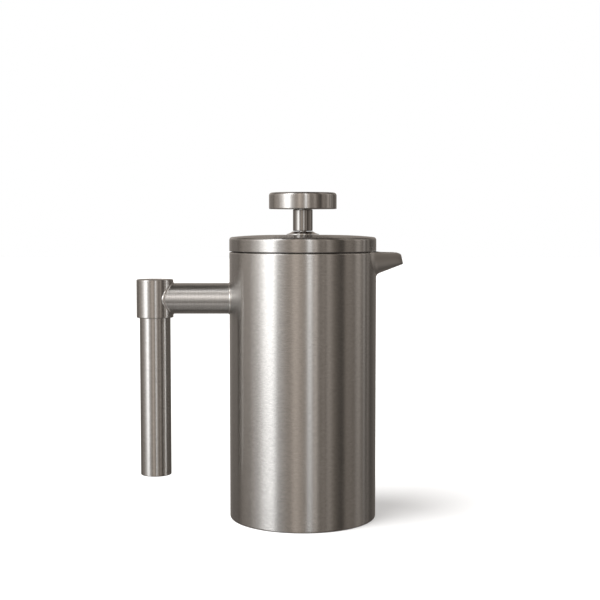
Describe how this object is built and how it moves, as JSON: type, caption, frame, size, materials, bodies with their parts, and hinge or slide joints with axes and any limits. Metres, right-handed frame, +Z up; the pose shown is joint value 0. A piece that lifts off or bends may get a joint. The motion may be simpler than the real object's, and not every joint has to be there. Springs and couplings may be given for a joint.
{
  "type": "french press",
  "caption": "Double-walled steel french press: straight cylinder with a pouring spout, tubular side handle, round lid and a plunger with a disc knob and spring-edged filter.",
  "frame": {"origin": "centre of the underside, on the vessel's axis, at the level of the table", "axes": "+Z up along the vessel's axis, +X towards the spout, -X towards the handle, +Y the side away from the viewer of the front"},
  "size_m": [0.1819, 0.1, 0.2221],
  "materials": {
    "brushed_steel": "fine horizontal brushed grain, warm grey, satin",
    "brushed_handle": "fine brushed grain round the tube, warm grey, satin",
    "inner_steel": "plain drawn steel, soft satin",
    "polished_steel": "polished bright",
    "filter_steel": "bright annealed stainless",
    "gasket_rubber": "matte black silicone",
    "guide_nylon": "off-white nylon, matte"
  },
  "bodies": {
    "vessel": {"outer_shell": "brushed_steel", "inner_vessel": "inner_steel", "base_plate": "brushed_steel", "spout": "brushed_steel", "handle_arm": "brushed_handle", "handle_socket": "brushed_handle", "socket_cap": "brushed_handle", "handle_grip": "brushed_handle", "grip_end_cap": "brushed_handle"},
    "seal": {"lid_gasket": "gasket_rubber"},
    "lid": {"lid_cover": "brushed_steel", "lid_pan": "inner_steel", "rod_bush": "polished_steel", "bush_nut": "filter_steel"},
    "guide": {"rod_guide": "guide_nylon"},
    "plunger": {"knob_cap": "brushed_steel", "knob_base": "brushed_steel", "knob_stem": "polished_steel", "plunger_rod": "polished_steel", "rod_collar": "filter_steel", "filter_plate": "filter_steel", "filter_coil": "filter_steel", "filter_screen": "filter_steel", "cross_plate": "filter_steel", "end_nut": "filter_steel"}
  },
  "joints": [
    {"name": "lid_lift", "type": "slide", "parent": "vessel", "child": "seal", "axis": [0, 0, 1], "range_m": [0, 0.17]},
    {"name": "lid_turn", "type": "hinge", "parent": "seal", "child": "lid", "pos_m": [0, 0, 0.1834], "axis": [0, 0, 1], "continuous": true},
    {"name": "plunger_turn", "type": "hinge", "parent": "lid", "child": "guide", "pos_m": [0, 0, 0.1945], "axis": [0, 0, 1], "continuous": true},
    {"name": "plunger_slide", "type": "slide", "parent": "guide", "child": "plunger", "axis": [0, 0, 1], "range_m": [0, 0.131]}
  ]
}
